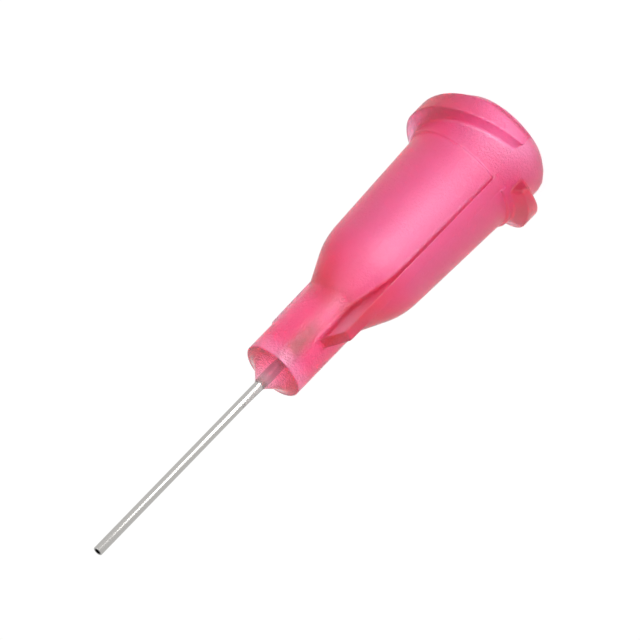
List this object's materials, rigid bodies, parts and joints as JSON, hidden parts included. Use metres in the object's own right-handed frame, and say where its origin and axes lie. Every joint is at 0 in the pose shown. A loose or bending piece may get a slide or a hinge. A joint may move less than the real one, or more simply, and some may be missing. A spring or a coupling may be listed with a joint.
{
  "type": "dispensing needle tip",
  "caption": "Blunt dispensing needle tip: thin steel cannula bonded into a translucent pink luer-lock hub with side fins.",
  "frame": {"origin": "centre of the luer mouth face, on the axis of the tip", "axes": "+Z along the axis from the luer mouth to the open end of the cannula; the two fins lie in the XZ plane; the tip stands on its mouth"},
  "size_m": [0.0076, 0.0078, 0.0312],
  "materials": {
    "hub_plastic": "translucent pink polypropylene with a fine satin moulding texture",
    "needle_steel": "drawn stainless steel tube, passivated, fine lengthwise drawing marks",
    "adhesive_clear": "clear cured acrylic adhesive, glossy, tinted by the hub round it"
  },
  "bodies": {
    "root": {"hub": "hub_plastic", "needle": "needle_steel", "adhesive": "adhesive_clear"}
  },
  "joints": []
}
